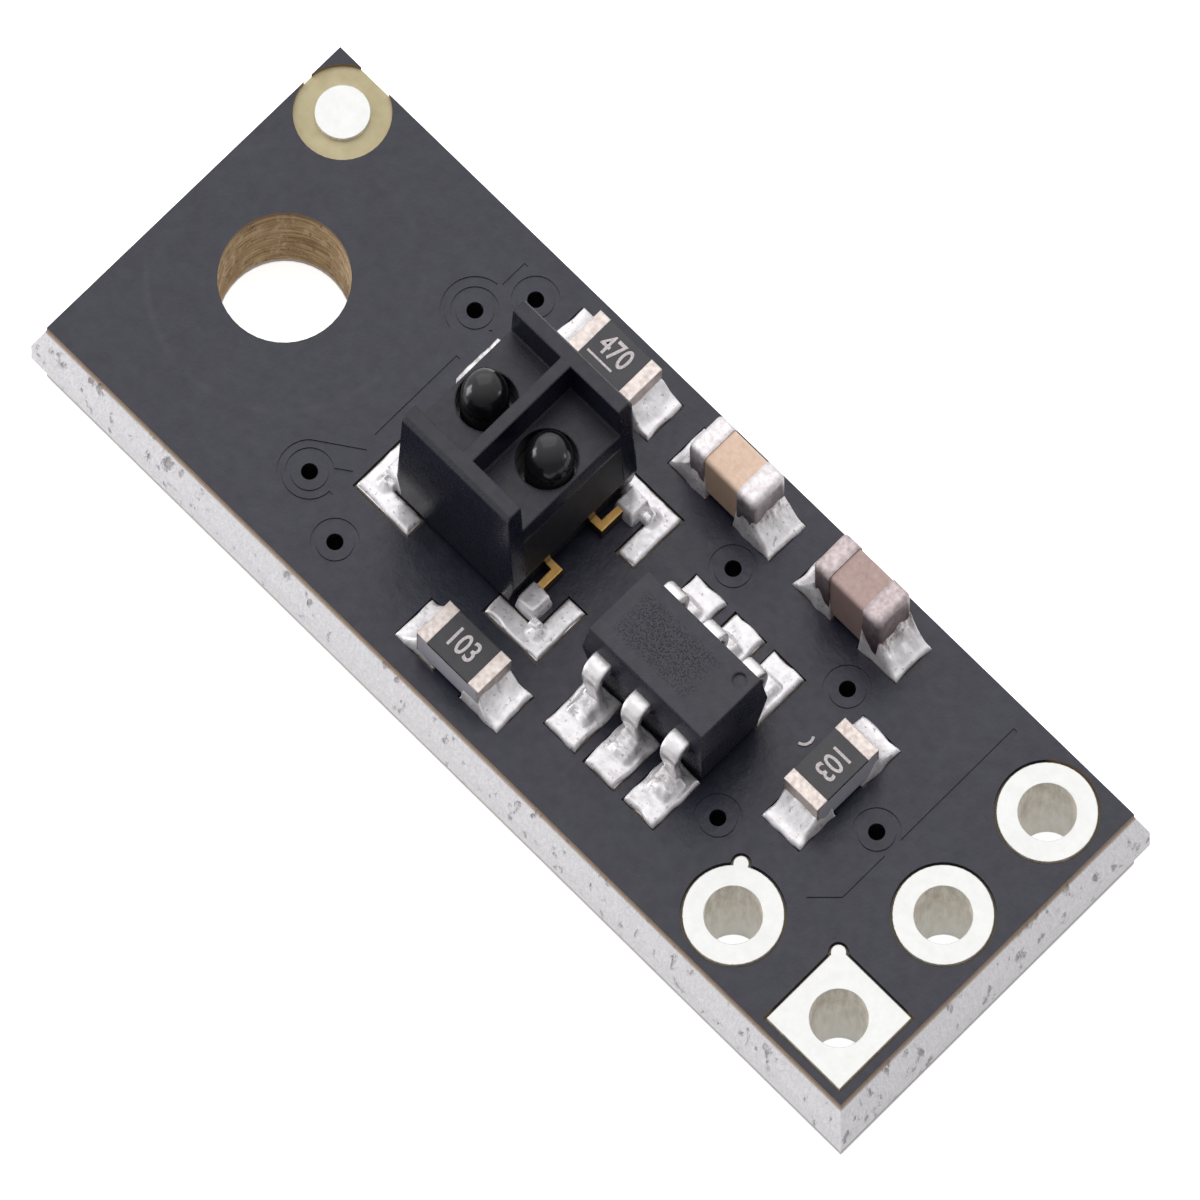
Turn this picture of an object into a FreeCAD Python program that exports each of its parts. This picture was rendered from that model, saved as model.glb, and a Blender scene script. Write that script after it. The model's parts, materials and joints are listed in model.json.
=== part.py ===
import FreeCAD, Part
import math
import os
import Sketcher

# Reflective optical sensor on a small printed circuit board, in millimetres.
# X runs along the board from the mounting hole to the header holes, Y across it and Z up.
# The origin is the centre of the board's bottom face.

# Driving dimensions
SIZES = {
    # board
    "board_length": 19.74,
    "board_width": 7.54,
    "laminate_thickness": 0.96,
    "score_depth": 0.34,
    "score_inset": 0.19,
    "copper_thickness": 0.035,
    "mask_thickness": 0.02,
    "mounting_hole_radius": 1.168,
    "mounting_hole_inset": 2.465,
    "mounting_hole_y": -0.03,
    "mask_margin": 0.05,
    "plane_margin": 0.16,
    "edge_margin": 0.25,
    "gap_line_width": 0.09,
    "gap_line_depth": 0.012,
    # fiducial
    "fiducial_inset_x": 1.055,
    "fiducial_inset_y": 0.99,
    "fiducial_radius": 0.487,
    "fiducial_window": 0.87,
    # header holes and vias
    "header_pitch": 2.54,
    "header_inset": 1.276,
    "header_y": 0.015,
    "header_bore_radius": 0.51,
    "header_plating": 0.03,
    "header_ring_radius": 0.87,
    "header_etch_back": 0.012,
    "header_stub_radius": 0.13,
    "via_bore_radius": 0.15,
    "via_plating": 0.025,
    "via_ring_radius": 0.33,
    "via_margin": 0.1,
    # sensor
    "sensor_x": -1.82,
    "sensor_y": 0.1,
    "housing_width": 3.01,
    "housing_height": 1.85,
    "housing_gap": 0.1,
    "housing_top_length": 2.58,
    "housing_waist_length": 2.85,
    "housing_foot_length": 2.6,
    "housing_waist_height": 0.45,
    "housing_wall": 0.315,
    "housing_chamfer": 0.06,
    "divider_width": 0.23,
    "plate_top": 1.39,
    "plate_thickness": 0.25,
    "window_pitch": 1.46,
    "window_radius": 0.55,
    "lens_pitch": 1.58,
    "lens_radius": 0.43,
    "lens_rim_height": 0.02,
    "lens_dome_height": 0.43,
    "resin_gap": 0.01,
    "resin_floor": 0.07,
    "sensor_lead_thickness": 0.12,
    "sensor_lead_lift": 0.02,
    "sensor_lead_reach": 1.6,
    "sensor_foot_width": 0.16,
    "sensor_foot_offset": 0.46,
    "sensor_arm_width": 0.18,
    "sensor_arm_end": 1.6,
    "paddle_half": 0.28,
    "die_side": 0.3,
    "die_height": 0.16,
    "bond_wire_radius": 0.015,
    "bond_wire_rise": 0.14,
    # sensor pads
    "sensor_pads_x": -1.68,
    "sensor_pads_length": 4.4,
    "sensor_pads_width": 3.52,
    "sensor_pad_leg_x": 1.25,
    "sensor_pad_leg_y": 1.16,
    "sensor_pad_arm": 0.37,
    "sensor_joint_height": 0.19,
    "sensor_joint_width": 0.5,
    "sensor_joint_length": 0.62,
    # driver
    "driver_x": 2.71,
    "driver_y": -0.587,
    "driver_length": 2.9,
    "driver_width": 1.6,
    "driver_parting": 0.66,
    "driver_height": 1.05,
    "driver_standoff": 0.06,
    "driver_draft": 12.0,
    "driver_dimple_radius": 0.13,
    "driver_dimple_depth": 0.03,
    "driver_pitch": 0.95,
    "driver_lead_width": 0.41,
    "driver_lead_thickness": 0.15,
    "driver_lead_span": 2.83,
    "driver_foot_length": 0.36,
    "driver_lead_lean": 0.08,
    "driver_bend_radius": 0.06,
    "driver_pad_width": 0.68,
    "driver_pad_length": 1.1,
    "driver_pads_span": 3.64,
    # chip resistors
    "resistor_length": 1.5,
    "resistor_width": 0.81,
    "resistor_height": 0.39,
    "resistor_strip": 0.25,
    "resistor_film": 0.03,
    # chip capacitors
    "capacitor_length": 1.6,
    "capacitor_width": 0.82,
    "capacitor_tan_height": 0.74,
    "capacitor_grey_height": 0.82,
    "capacitor_terminal": 0.4,
    "capacitor_film": 0.02,
    "capacitor_rounding": 0.1,
    # solder
    "chip_pads_span": 2.4,
    "chip_pad_length": 0.84,
    "chip_pad_width": 0.82,
    "solder_bed": 0.03,
    "solder_coat": 0.06,
    "solder_skin": 0.03,
    "resistor_joint_height": 0.32,
    "capacitor_joint_height": 0.55,
    # white mark
    "mark_x": 4.7,
    "mark_y": 0.56,
    "mark_radius": 0.165,
    "mark_width": 0.05,
    "mark_thickness": 0.015,
}

# Places of the vias, each inside a clear gap in the copper planes
VIAS = [
    (-4.65, 1.89),
    (-4.63, -2.16),
    (-4.04, 2.77),
    (-3.43, -2.73),
    (1.76, 1.79),
    (4.65, 1.67),
    (6.77, 0.24),
    (4.67, -1.51),
]

# Header holes as steps of the pitch from the middle hole, with the square one marked
HEADER_HOLES = [
    ("header_hole_middle", 0, 0, False),
    ("header_hole_end", 0, 1, False),
    ("header_hole_inner", -1, -1, False),
    ("header_hole_square", 0, -1, True),
]

# Stubs of the tracks that leave two header rings, in shares of the ring's radius
HEADER_STUBS = {
    "header_hole_inner": (-0.62, 0.84),
    "header_hole_square": (-0.93, 0.93),
}

# Chip resistors: name, centre x, centre y and turn in degrees
RESISTORS = [
    ("resistor_upper", -2.12, 2.79, 0),
    ("resistor_lower", -0.3, -2.7, 0),
    ("resistor_side", 5.62, 0.295, 90),
]

# Chip capacitors: name, centre x, centre y and the size that gives the height
CAPACITORS = [
    ("capacitor_tan", 0.88, 2.77, "capacitor_tan_height"),
    ("capacitor_grey", 3.93, 2.76, "capacitor_grey_height"),
]

# Straight clear gaps seen as fine lines in the solder mask: start and end
GAP_LINES = [
    (-4.18, -1.22, -5.0, -1.78),
    (-4.08, -1.66, -4.42, -1.9),
    (-4.6, 2.55, -4.6, 3.1),
    (-4.26, 1.1, -4.26, -0.9),
    (-4.15, 1.82, -4.45, 1.56),
    (7.2, 3.2, 7.2, -1.0),
    (7.2, -1.0, 6.75, -1.45),
]

# Curved clear gaps: centre, radius, start angle and sweep in degrees
GAP_ARCS = [
    (-4.65, 1.89, 0.57, 95, 165),
    (-4.63, -2.16, 0.53, 134, 226),
]

doc = FreeCAD.newDocument("reflective_sensor_board")
sheet = doc.addObject("Spreadsheet::Sheet", "Sizes")
for row, (alias, number) in enumerate(SIZES.items(), start=1):
    sheet.set(f"A{row}", alias)
    sheet.set(f"B{row}", str(number))
    sheet.setAlias(f"B{row}", alias)
doc.recompute()

nodes = []


# Sizes that carry both a number and the expression that yields it
class Dim:
    def __init__(self, value, text):
        self.value = value
        self.text = text

    def __add__(self, other):
        other = dim(other)
        return Dim(self.value + other.value, f"({self.text} + {other.text})")

    def __sub__(self, other):
        other = dim(other)
        return Dim(self.value - other.value, f"({self.text} - {other.text})")

    def __mul__(self, other):
        other = dim(other)
        return Dim(self.value * other.value, f"({self.text} * {other.text})")

    def __truediv__(self, other):
        other = dim(other)
        return Dim(self.value / other.value, f"({self.text} / {other.text})")

    def __neg__(self):
        return Dim(-self.value, f"(-1 * {self.text})")


def dim(value):
    if isinstance(value, Dim):
        return value
    return Dim(float(value), f"({value:.6f})")


def size(alias):
    return Dim(SIZES[alias], f"Sizes.{alias}")


def smaller(first, second):
    return Dim(min(first.value, second.value), f"min({first.text}; {second.text})")


def arctan(ratio):
    return Dim(math.degrees(math.atan(ratio.value)), f"atan({ratio.text})")


def bind(item, prop, value):
    item.setExpression(prop, dim(value).text)


def place(item, x, y, z, turn=0):
    x, y, z = dim(x), dim(y), dim(z)
    spin = FreeCAD.Rotation(FreeCAD.Vector(0, 0, 1), turn)
    item.Placement = FreeCAD.Placement(FreeCAD.Vector(x.value, y.value, z.value), spin)
    bind(item, "Placement.Base.x", x)
    bind(item, "Placement.Base.y", y)
    bind(item, "Placement.Base.z", z)
    return item


def keep(item, label):
    item.Label = label
    nodes.append(item)
    return item


# Plain solids and booleans
def block(name, length, width, height, x, y, z, turn=0):
    """A box centred on x and y, standing on z and turned about its own middle."""
    length, width = dim(length), dim(width)
    item = doc.addObject("Part::Box", name)
    bind(item, "Length", length)
    bind(item, "Width", width)
    bind(item, "Height", height)
    cosine, sine = math.cos(math.radians(turn)), math.sin(math.radians(turn))
    corner_x = dim(x) - length * (cosine / 2) + width * (sine / 2)
    corner_y = dim(y) - length * (sine / 2) - width * (cosine / 2)
    return place(item, corner_x, corner_y, z, turn)


def disc(name, radius, height, x, y, z, start=0, sweep=360):
    item = doc.addObject("Part::Cylinder", name)
    bind(item, "Radius", radius)
    bind(item, "Height", height)
    item.Angle = sweep
    return place(item, x, y, z, start)


def cut(name, base, tool):
    item = doc.addObject("Part::Cut", name)
    item.Base = base
    item.Tool = tool
    return item


def fuse(name, shapes):
    item = doc.addObject("Part::MultiFuse", name)
    item.Shapes = shapes
    return item


def group(name, shapes):
    item = doc.addObject("Part::Compound", name)
    item.Links = shapes
    return item


def ring_sector(name, radius, width, height, x, y, z, start, sweep):
    """A flat ring or a stretch of one, centred on the given radius."""
    outer = disc(name + "_outer", dim(radius) + dim(width) / 2, height, x, y, z, start, sweep)
    inner = disc(name + "_inner", dim(radius) - dim(width) / 2, height, x, y, z, start, sweep)
    return cut(name, outer, inner)


def strip(name, width, height, x0, y0, x1, y1, z):
    """A straight strip between two points, seen from above."""
    length = math.hypot(x1 - x0, y1 - y0)
    turn = math.degrees(math.atan2(y1 - y0, x1 - x0))
    return block(name, length, width, height, (x0 + x1) / 2, (y0 + y1) / 2, z, turn)


# Bodies made of sketches and features
def new_body(name, x=0, y=0, z=0, turn=0):
    return place(doc.addObject("PartDesign::Body", name), x, y, z, turn)


def new_sketch(body, name, role="XY_Plane", shift=0, lift=0):
    """A sketch on one of the body's own planes, shifted along its X and lifted off it."""
    sketch = body.newObject("Sketcher::SketchObject", name)
    plane = next(item for item in body.Origin.OriginFeatures if item.Role == role)
    sketch.AttachmentSupport = [(plane, "")]
    sketch.MapMode = "FlatFace"
    bind(sketch, "AttachmentOffset.Base.x", shift)
    bind(sketch, "AttachmentOffset.Base.z", lift)
    return sketch


def hold(sketch, kind, index, point, value):
    """Tie one coordinate of a point of the sketch to a size."""
    value = dim(value)
    number = sketch.addConstraint(
        Sketcher.Constraint(kind, -1, 1, index, point, value.value))
    sketch.setExpression(f"Constraints[{number}]", value.text)


def polygon(sketch, corners):
    """Straight lines that close through corners, each a pair of sizes."""
    first = sketch.GeometryCount
    spots = [FreeCAD.Vector(dim(x).value, dim(y).value, 0) for x, y in corners]
    count = len(spots)
    for index in range(count):
        line = Part.LineSegment(spots[index], spots[(index + 1) % count])
        sketch.addGeometry(line, False)
    for index in range(count):
        following = first + (index + 1) % count
        sketch.addConstraint(
            Sketcher.Constraint("Coincident", first + index, 2, following, 1))
    for index, (x, y) in enumerate(corners):
        hold(sketch, "DistanceX", first + index, 1, x)
        hold(sketch, "DistanceY", first + index, 1, y)
    return sketch


def rectangle(sketch, x0, y0, x1, y1):
    return polygon(sketch, [(x0, y0), (x1, y0), (x1, y1), (x0, y1)])


def centred_rectangle(sketch, length, width):
    half_x, half_y = dim(length) / 2, dim(width) / 2
    return rectangle(sketch, -half_x, -half_y, half_x, half_y)


def circle(sketch, radius, x, y):
    spot = FreeCAD.Vector(dim(x).value, dim(y).value, 0)
    shape = Part.Circle(spot, FreeCAD.Vector(0, 0, 1), dim(radius).value)
    index = sketch.addGeometry(shape, False)
    hold(sketch, "DistanceX", index, 3, x)
    hold(sketch, "DistanceY", index, 3, y)
    number = sketch.addConstraint(Sketcher.Constraint("Radius", index, dim(radius).value))
    sketch.setExpression(f"Constraints[{number}]", dim(radius).text)
    return sketch


def pad(body, sketch, length, taper=None, side="One side", reverse=False):
    feature = body.newObject("PartDesign::Pad", sketch.Name + "_pad")
    feature.Profile = sketch
    feature.SideType = side
    feature.Reversed = reverse
    bind(feature, "Length", length)
    if taper is not None:
        bind(feature, "TaperAngle", taper)
    return feature


def pocket(body, sketch, length=None, side="One side"):
    """Cut the sketch to a depth, or through everything below it when none is given."""
    feature = body.newObject("PartDesign::Pocket", sketch.Name + "_pocket")
    feature.Profile = sketch
    feature.SideType = side
    if length is None:
        feature.Type = "ThroughAll"
    else:
        bind(feature, "Length", length)
    return feature


def revolve(body, sketch):
    feature = body.newObject("PartDesign::Revolution", sketch.Name + "_turned")
    feature.Profile = sketch
    feature.ReferenceAxis = (sketch, ["V_Axis"])
    feature.Angle = 360
    return feature


def edge_names(shape, wanted):
    return [f"Edge{number}" for number, edge in enumerate(shape.Edges, start=1) if wanted(edge)]


def round_edges(body, kind, wanted, prop, value):
    """A fillet or chamfer on those edges of the body that pass the test."""
    doc.recompute()
    base = body.Tip
    feature = body.newObject("PartDesign::" + kind, body.Name + "_" + kind.lower())
    feature.Base = (base, edge_names(base.Shape, wanted))
    bind(feature, prop, value)
    return feature


# Levels of the board's layers
foil = size("copper_thickness") + size("mask_thickness")
laminate_bottom = foil
laminate_top = laminate_bottom + size("laminate_thickness")
plane_top = laminate_top + size("copper_thickness")
board_top = laminate_top + foil
face_length = size("board_length") - size("score_inset") * 2
face_width = size("board_width") - size("score_inset") * 2

mounting_x = size("mounting_hole_inset") - size("board_length") / 2
fiducial_x = size("fiducial_inset_x") - size("board_length") / 2
fiducial_y = size("board_width") / 2 - size("fiducial_inset_y")
header_drill = size("header_bore_radius") + size("header_plating")
via_drill = size("via_bore_radius") + size("via_plating")


def header_places():
    for label, step_x, step_y, square in HEADER_HOLES:
        x = size("board_length") / 2 - size("header_inset") + size("header_pitch") * step_x
        y = size("header_y") + size("header_pitch") * step_y
        yield label, x, y, square


# Board laminate: a web left by the score lines, sloped above and below it, and drilled
def make_laminate():
    body = new_body("laminate_body", z=laminate_bottom)
    slope = -arctan(size("score_inset") / size("score_depth"))
    web = size("laminate_thickness") - size("score_depth") * 2
    web_top = size("laminate_thickness") - size("score_depth")
    for name, lift, length, taper, reverse in (
            ("score_web", size("score_depth"), web, None, False),
            ("score_upper", web_top, size("score_depth"), slope, False),
            ("score_lower", size("score_depth"), size("score_depth"), slope, True)):
        sketch = new_sketch(body, name, lift=lift)
        centred_rectangle(sketch, size("board_length"), size("board_width"))
        pad(body, sketch, length, taper, reverse=reverse)
    drill = new_sketch(body, "drilling", lift=size("laminate_thickness"))
    circle(drill, size("mounting_hole_radius"), mounting_x, size("mounting_hole_y"))
    for x, y in VIAS:
        circle(drill, via_drill, x, y)
    pocket(body, drill)
    drilled = [drilled_core(label, x, y) for label, x, y, square in header_places()]
    return keep(cut("laminate_cut", body, fuse("header_cores", drilled)), "board_laminate")


def drilled_core(label, x, y):
    """What the drill takes out of the laminate, etched back a little at mid-height."""
    body = new_body(label + "_core", x, y, laminate_bottom)
    sketch = new_sketch(body, label + "_core_profile", "XZ_Plane")
    depth = size("laminate_thickness")
    waist = header_drill + size("header_etch_back")
    polygon(sketch, [(0, 0), (header_drill, 0), (waist, depth / 2), (header_drill, depth),
                     (0, depth)])
    revolve(body, sketch)
    return body


def header_stubs(tag, label, x, y, grow, height, z):
    if label not in HEADER_STUBS:
        return []
    share_x, share_y = HEADER_STUBS[label]
    ring = size("header_ring_radius")
    return [disc(f"{tag}_{label}_stub", size("header_stub_radius") + grow, height,
                 x + ring * share_x, y + ring * share_y, z)]


# Vias: a barrel with a ring on each face, turned in one profile
def plated_profile(body, name, bore, drill, ring, ring_height, height):
    sketch = new_sketch(body, name, "XZ_Plane")
    polygon(sketch, [
        (bore, 0), (ring, 0), (ring, ring_height), (drill, ring_height),
        (drill, height - ring_height), (ring, height - ring_height), (ring, height),
        (bore, height)])
    return revolve(body, sketch)


def make_header_holes():
    ring = size("header_ring_radius")
    for label, x, y, square in header_places():
        metal = [doc.getObject(label + "_core")]
        for face, z in (("lower", 0), ("upper", laminate_top)):
            name = f"{label}_{face}"
            if square:
                metal.append(block(name, ring * 2, ring * 2, foil, x, y, z))
            else:
                metal.append(disc(name, ring, foil, x, y, z))
        metal += header_stubs("metal", label, x, y, 0, foil, laminate_top)
        bore = disc(label + "_bore", size("header_bore_radius"), board_top, x, y, 0)
        keep(cut(label + "_plating", fuse(label + "_metal", metal), bore), label)


def make_vias():
    barrels = []
    for number, (x, y) in enumerate(VIAS, start=1):
        body = new_body(f"via_{number}_body", x, y, size("mask_thickness"))
        height = size("laminate_thickness") + size("copper_thickness") * 2
        plated_profile(body, f"via_{number}_profile", size("via_bore_radius"), via_drill,
                       size("via_ring_radius"), size("copper_thickness"), height)
        barrels.append(body)
    return keep(group("via_group", barrels), "via_barrels")


# Component pads: chips, driver and the four L-shaped pads of the sensor
def chip_ends(x, y, turn):
    """The middles of a chip's two pads."""
    reach = (size("chip_pads_span") - size("chip_pad_length")) / 2
    across = (reach, dim(0)) if turn == 0 else (dim(0), reach)
    for sign in (-1, 1):
        yield dim(x) + across[0] * sign, dim(y) + across[1] * sign


def chip_pads(tag, grow, height, z):
    pads = []
    chips = [(name, x, y, turn) for name, x, y, turn in RESISTORS]
    chips += [(name, x, y, 0) for name, x, y, height_name in CAPACITORS]
    for name, x, y, turn in chips:
        for end, (end_x, end_y) in enumerate(chip_ends(x, y, turn)):
            length = size("chip_pad_length") + dim(grow) * 2
            width = size("chip_pad_width") + dim(grow) * 2
            if turn == 90:
                length, width = width, length
            pads.append(block(f"{tag}_{name}_{end}", length, width, height, end_x, end_y, z))
    return pads


def driver_pad_places():
    reach = (size("driver_pads_span") - size("driver_pad_length")) / 2
    for row in (-1, 1):
        for step in (-1, 0, 1):
            x = size("driver_x") + size("driver_pitch") * step
            yield row, step, x, size("driver_y") + reach * row


def driver_pads(tag, grow, height, z):
    pads = []
    for row, step, x, y in driver_pad_places():
        width = size("driver_pad_width") + dim(grow) * 2
        length = size("driver_pad_length") + dim(grow) * 2
        pads.append(block(f"{tag}_driver_{row + 1}_{step + 1}", width, length, height, x, y, z))
    return pads


QUADRANTS = [("rear_left", -1, 1), ("rear_right", 1, 1), ("front_left", -1, -1),
             ("front_right", 1, -1)]


def sensor_pads(tag, grow, height, z):
    pads = []
    grow = dim(grow)
    for name, side_x, side_y in QUADRANTS:
        corner_x = (size("sensor_pads_length") / 2 + grow) * side_x
        corner_y = (size("sensor_pads_width") / 2 + grow) * side_y
        leg_x = corner_x - (size("sensor_pad_leg_x") + grow * 2) * side_x
        leg_y = corner_y - (size("sensor_pad_leg_y") + grow * 2) * side_y
        arm_x = corner_x - (size("sensor_pad_arm") + grow * 2) * side_x
        arm_y = corner_y - (size("sensor_pad_arm") + grow * 2) * side_y
        body = new_body(f"{tag}_sensor_{name}", size("sensor_pads_x"), 0, z)
        sketch = new_sketch(body, f"{tag}_sensor_{name}_outline")
        polygon(sketch, [(corner_x, corner_y), (leg_x, corner_y), (leg_x, arm_y),
                         (arm_x, arm_y), (arm_x, leg_y), (corner_x, leg_y)])
        pad(body, sketch, height)
        pads.append(body)
    return pads


def all_pads(tag, grow, height, z):
    return (chip_pads(tag, grow, height, z) + driver_pads(tag, grow, height, z)
            + sensor_pads(tag, grow, height, z))


# Ground planes: copper set back from the edges, holes, pads and isolated vias
def make_plane(tag, z, with_pads):
    height = size("copper_thickness")
    sheet_body = block(tag + "_sheet", face_length - size("edge_margin") * 2,
                       face_width - size("edge_margin") * 2, height, 0, 0, z)
    margin = size("plane_margin")
    gaps = [disc(tag + "_mounting", size("mounting_hole_radius") + size("edge_margin"), height,
                 mounting_x, size("mounting_hole_y"), z)]
    for label, x, y, square in header_places():
        ring = (size("header_ring_radius") + margin) * 2
        if square:
            gaps.append(block(f"{tag}_{label}", ring, ring, height, x, y, z))
        else:
            gaps.append(disc(f"{tag}_{label}", ring / 2, height, x, y, z))
        if with_pads:
            gaps += header_stubs(tag, label, x, y, margin, height, z)
    for number, (x, y) in enumerate(VIAS, start=1):
        reach = size("via_ring_radius") + size("via_margin")
        gaps.append(disc(f"{tag}_via_{number}", reach, height, x, y, z))
    if with_pads:
        gaps += all_pads(tag, margin, height, z)
        gaps.append(disc(tag + "_fiducial", size("fiducial_window"), height,
                         fiducial_x, fiducial_y, z))
        gaps += gap_lines(tag, height, z)
    return cut(tag + "_plane", sheet_body, fuse(tag + "_gaps", gaps))


def gap_lines(tag, height, z):
    width = size("gap_line_width")
    lines = [strip(f"{tag}_line_{number}", width, height, *ends, z)
             for number, ends in enumerate(GAP_LINES)]
    lines += [ring_sector(f"{tag}_arc_{number}", radius, width, height, x, y, z, start, sweep)
              for number, (x, y, radius, start, sweep) in enumerate(GAP_ARCS)]
    return lines


# Solder masks: a skin over each face with a window round every pad, ring and hole
def make_mask(tag, z, plane, with_pads, groove_z):
    skin = block(tag + "_skin", face_length, face_width, foil, 0, 0, z)
    margin = size("mask_margin")
    windows = [plane]
    windows.append(disc(tag + "_mounting", size("mounting_hole_radius"), foil,
                        mounting_x, size("mounting_hole_y"), z))
    for label, x, y, square in header_places():
        ring = (size("header_ring_radius") + margin) * 2
        if square:
            windows.append(block(f"{tag}_{label}", ring, ring, foil, x, y, z))
        else:
            windows.append(disc(f"{tag}_{label}", ring / 2, foil, x, y, z))
        if with_pads:
            windows += header_stubs(tag, label, x, y, margin, foil, z)
    copper_z = dim(z) if with_pads else dim(z) + size("mask_thickness")
    for number, (x, y) in enumerate(VIAS, start=1):
        windows.append(disc(f"{tag}_via_{number}", size("via_bore_radius"), foil, x, y, z))
        windows.append(disc(f"{tag}_via_ring_{number}", size("via_ring_radius"),
                            size("copper_thickness"), x, y, copper_z))
    if with_pads:
        windows += all_pads(tag, margin, foil, z)
        windows.append(disc(tag + "_fiducial", size("fiducial_window"), foil,
                            fiducial_x, fiducial_y, z))
        windows += gap_lines(tag, size("gap_line_depth"), groove_z)
        windows += [ring_sector(f"{tag}_dip_{number}",
                                size("via_ring_radius") + size("via_margin") / 2,
                                size("via_margin"), size("gap_line_depth"), x, y, groove_z,
                                0, 360) for number, (x, y) in enumerate(VIAS, start=1)]
    return cut(tag + "_mask", skin, fuse(tag + "_windows", windows))


def make_layers():
    upper = make_plane("plane_upper", laminate_top, True)
    keep(upper, "ground_plane_top")
    lower = make_plane("plane_lower", size("mask_thickness"), False)
    keep(lower, "ground_plane_bottom")
    groove_z = board_top - size("gap_line_depth")
    keep(make_mask("mask_upper", laminate_top, upper, True, groove_z), "solder_mask_top")
    keep(make_mask("mask_lower", 0, lower, False, groove_z), "solder_mask_bottom")
    keep(group("pad_group", all_pads("pad", 0, foil, laminate_top)), "component_pads")
    fiducial = disc("fiducial", size("fiducial_radius"), foil, fiducial_x,
                    fiducial_y, laminate_top)
    keep(fiducial, "fiducial_pad")
    mark = ring_sector("mark", size("mark_radius"), size("mark_width"), size("mark_thickness"),
                       size("mark_x"), size("mark_y"), board_top, 280, 115)
    keep(mark, "white_mark")


# Sensor housing: drafted side profile with two open wells, a floor plate and cavities below
half_top = size("housing_top_length") / 2
half_waist = size("housing_waist_length") / 2
half_foot = size("housing_foot_length") / 2
well_width = size("housing_width") - size("housing_wall") * 2
plate_bottom = size("plate_top") - size("plate_thickness")


def end_at(height):
    """Half the housing's length at a height between its waist and its top."""
    rise = (dim(height) - size("housing_waist_height")) / (
        size("housing_height") - size("housing_waist_height"))
    return half_waist + (half_top - half_waist) * rise


def make_housing():
    body = new_body("housing_body", size("sensor_x"), size("sensor_y"), board_top)
    top, waist, foot = (size("housing_height"), size("housing_waist_height"),
                        size("housing_gap"))
    side = new_sketch(body, "housing_side", "XZ_Plane")
    polygon(side, [(-half_foot, foot), (half_foot, foot), (half_waist, waist),
                   (half_top, top), (-half_top, top), (-half_waist, waist)])
    pad(body, side, size("housing_width"), side="Symmetric")
    inner, past = size("divider_width") / 2, size("housing_waist_length")
    for name, low, high in (("housing_wells", size("plate_top"), top * 2),
                            ("housing_cavities", foot * -1, plate_bottom)):
        sketch = new_sketch(body, name, "XZ_Plane")
        rectangle(sketch, inner, low, past, high)
        rectangle(sketch, -past, low, -inner, high)
        pocket(body, sketch, well_width, side="Symmetric")
    holes = new_sketch(body, "housing_holes", lift=top)
    for sign in (-1, 1):
        circle(holes, size("window_radius"), size("window_pitch") / 2 * sign, 0)
    pocket(body, holes)
    half_width = size("housing_width").value / 2

    def long_top_edge(edge):
        middle = edge.CenterOfMass
        return (abs(abs(middle.y) - half_width) < 1e-3
                and abs(middle.z - top.value) < 1e-3)

    round_edges(body, "Chamfer", long_top_edge, "Size", size("housing_chamfer"))
    return keep(body, "sensor_housing")


# Sensor leads: flat L-shaped strips, one of each pair widened into a paddle for its die
lens_x = size("lens_pitch") / 2
lead_z = board_top + size("sensor_lead_lift")
lead_top = lead_z + size("sensor_lead_thickness")


def make_sensor_lead(label, side_x, side_y, with_paddle):
    foot_0 = size("sensor_foot_offset")
    foot_1 = foot_0 + size("sensor_foot_width")
    reach, arm_end = size("sensor_lead_reach"), size("sensor_arm_end")
    arm = reach - size("sensor_arm_width")
    paddle = size("paddle_half")
    corners = [(reach, foot_0), (reach, arm_end), (arm, arm_end), (arm, foot_1),
               (lens_x - paddle, foot_1)]
    if with_paddle:
        corners += [(lens_x - paddle, -paddle), (lens_x + paddle, -paddle),
                    (lens_x + paddle, foot_0)]
    else:
        corners += [(lens_x - paddle, foot_0)]
    body = new_body(label + "_body", size("sensor_x"), size("sensor_y"), lead_z)
    sketch = new_sketch(body, label + "_outline")
    polygon(sketch, [(x * side_x, y * side_y) for x, y in corners])
    pad(body, sketch, size("sensor_lead_thickness"))
    return keep(body, label)


def make_bond_wire(name, side_x):
    """A fine gold arc from the die's top to the neighbouring lead."""
    x = size("sensor_x").value + lens_x.value * side_x
    y = size("sensor_y").value
    landing = y - size("sensor_foot_offset").value - size("sensor_foot_width").value / 2
    die_top = lead_top.value + size("die_height").value
    start = FreeCAD.Vector(x, y, die_top)
    end = FreeCAD.Vector(x, landing, lead_top.value)
    crest = FreeCAD.Vector(x, (y * 2 + landing) / 3, die_top + size("bond_wire_rise").value)
    path = Part.Wire([Part.Arc(start, crest, end).toShape()])
    radius = size("bond_wire_radius").value
    profile = Part.Wire([Part.Circle(start, path.Edges[0].tangentAt(
        path.Edges[0].FirstParameter), radius).toShape()])
    wire = doc.addObject("Part::Feature", name)
    wire.Shape = path.makePipeShell([profile], True, False)
    return wire


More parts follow.
